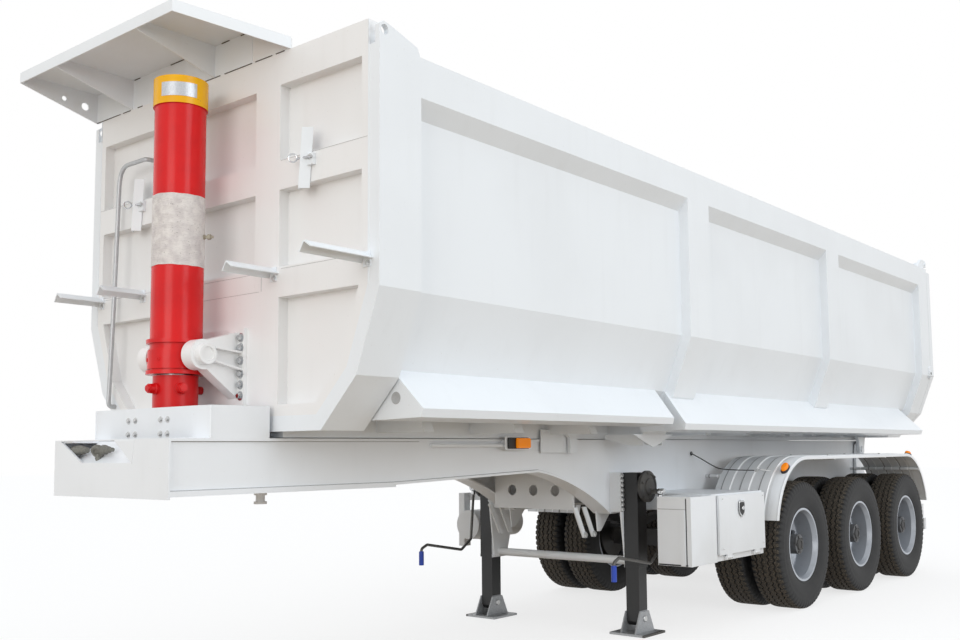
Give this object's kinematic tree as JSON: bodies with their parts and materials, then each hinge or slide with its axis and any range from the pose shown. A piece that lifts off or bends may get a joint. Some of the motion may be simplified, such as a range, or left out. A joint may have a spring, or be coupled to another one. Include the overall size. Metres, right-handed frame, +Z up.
{
  "type": "tipper semi-trailer",
  "caption": "Rear-tipping semi-trailer with a deep faceted open body, front lift cylinder, gooseneck chassis, landing legs and three twin-wheel axles.",
  "frame": {"origin": "on the ground, at the middle of the overall length and width", "axes": "+X forward towards the gooseneck, +Y to the trailer's left, +Z up"},
  "size_m": [9.087, 2.54, 3.585],
  "materials": {
    "white_paint": "satin",
    "black_paint": "satin",
    "red_paint": "gloss",
    "bare_steel": "satin",
    "rim_paint": "satin",
    "tyre": "matte"
  },
  "bodies": {
    "chassis": {"main_rail_left": "white_paint", "main_rail_right": "white_paint", "cross_members": "white_paint", "front_end": "white_paint", "tipping_platform": "white_paint", "landing_leg_left": "black_paint", "landing_leg_right": "black_paint", "leg_brace": "white_paint", "suspension": "black_paint", "axle_front": "black_paint", "axle_middle": "black_paint", "axle_rear": "black_paint", "mudguard_left": "white_paint", "mudguard_right": "white_paint", "toolbox": "white_paint", "rear_end": "white_paint", "side_rack": "white_paint"},
    "bed": {"side_wall_left": "white_paint", "side_wall_right": "white_paint", "body_floor": "white_paint", "front_wall": "white_paint", "canopy": "white_paint", "front_fittings": "white_paint", "floor_frame": "white_paint", "trunnion_bracket": "white_paint"},
    "tailgate": {"tailgate": "white_paint"},
    "toolbox_door": {"toolbox_door": "white_paint"},
    "wheel_front_left": {"tyres_front_left": "tyre", "wheels_front_left": "rim_paint"},
    "wheel_middle_left": {"tyres_middle_left": "tyre", "wheels_middle_left": "rim_paint"},
    "wheel_rear_left": {"tyres_rear_left": "tyre", "wheels_rear_left": "rim_paint"},
    "wheel_front_right": {"tyres_front_right": "tyre", "wheels_front_right": "rim_paint"},
    "wheel_middle_right": {"tyres_middle_right": "tyre", "wheels_middle_right": "rim_paint"},
    "wheel_rear_right": {"tyres_rear_right": "tyre", "wheels_rear_right": "rim_paint"},
    "cylinder_cover": {"cylinder_cover": "red_paint"},
    "cylinder_stage_1": {"cylinder_stage_1": "bare_steel"},
    "cylinder_stage_2": {"cylinder_stage_2": "bare_steel"},
    "cylinder_stage_3": {"cylinder_stage_3": "bare_steel"},
    "cylinder_stage_4": {"cylinder_stage_4": "bare_steel"},
    "cylinder_stage_5": {"cylinder_stage_5": "bare_steel"}
  },
  "joints": [
    {"name": "wheel_front_left_spin", "type": "hinge", "parent": "chassis", "child": "wheel_front_left", "pos_m": [-1.0225, 0.915, 0.522], "axis": [0, 1, 0], "continuous": true},
    {"name": "wheel_middle_left_spin", "type": "hinge", "parent": "chassis", "child": "wheel_middle_left", "pos_m": [-2.3325, 0.915, 0.522], "axis": [0, 1, 0], "continuous": true},
    {"name": "wheel_rear_left_spin", "type": "hinge", "parent": "chassis", "child": "wheel_rear_left", "pos_m": [-3.6425, 0.915, 0.522], "axis": [0, 1, 0], "continuous": true},
    {"name": "wheel_front_right_spin", "type": "hinge", "parent": "chassis", "child": "wheel_front_right", "pos_m": [-1.0225, -0.915, 0.522], "axis": [0, 1, 0], "continuous": true},
    {"name": "wheel_middle_right_spin", "type": "hinge", "parent": "chassis", "child": "wheel_middle_right", "pos_m": [-2.3325, -0.915, 0.522], "axis": [0, 1, 0], "continuous": true},
    {"name": "wheel_rear_right_spin", "type": "hinge", "parent": "chassis", "child": "wheel_rear_right", "pos_m": [-3.6425, -0.915, 0.522], "axis": [0, 1, 0], "continuous": true},
    {"name": "bed_tip", "type": "hinge", "parent": "chassis", "child": "bed", "pos_m": [-4.1825, 0, 1.29], "axis": [0, -1, 0], "range_deg": [0, 40]},
    {"name": "tailgate_swing", "type": "hinge", "parent": "bed", "child": "tailgate", "pos_m": [-4.4935, 0, 3.33], "axis": [0, 1, 0], "range_deg": [0, 60]},
    {"name": "toolbox_door_drop", "type": "hinge", "parent": "chassis", "child": "toolbox_door", "pos_m": [0.0875, 1.186, 0.532], "axis": [-1, 0, 0], "range_deg": [0, 100]},
    {"name": "cylinder_swing", "type": "hinge", "parent": "bed", "child": "cylinder_cover", "pos_m": [4.1725, 0, 1.82], "axis": [0, -1, 0], "range_deg": [-18.38, 0]},
    {"name": "cylinder_slide_1", "type": "slide", "parent": "cylinder_cover", "child": "cylinder_stage_1", "axis": [0, 0, -1], "range_m": [0, 1.1382]},
    {"name": "cylinder_slide_2", "type": "slide", "parent": "cylinder_stage_1", "child": "cylinder_stage_2", "axis": [0, 0, -1], "range_m": [0, 1.1382]},
    {"name": "cylinder_slide_3", "type": "slide", "parent": "cylinder_stage_2", "child": "cylinder_stage_3", "axis": [0, 0, -1], "range_m": [0, 1.1382]},
    {"name": "cylinder_slide_4", "type": "slide", "parent": "cylinder_stage_3", "child": "cylinder_stage_4", "axis": [0, 0, -1], "range_m": [0, 1.1382]},
    {"name": "cylinder_slide_5", "type": "slide", "parent": "cylinder_stage_4", "child": "cylinder_stage_5", "axis": [0, 0, -1], "range_m": [0, 1.1382]}
  ],
  "couplings": [
    {"joint": "cylinder_swing", "follows": "bed_tip", "ratio": -0.45822},
    {"joint": "cylinder_slide_1", "follows": "bed_tip", "m_per_rad": 1.6289},
    {"joint": "cylinder_slide_2", "follows": "bed_tip", "m_per_rad": 1.6289},
    {"joint": "cylinder_slide_3", "follows": "bed_tip", "m_per_rad": 1.6289},
    {"joint": "cylinder_slide_4", "follows": "bed_tip", "m_per_rad": 1.6289},
    {"joint": "cylinder_slide_5", "follows": "bed_tip", "m_per_rad": 1.6289}
  ]
}
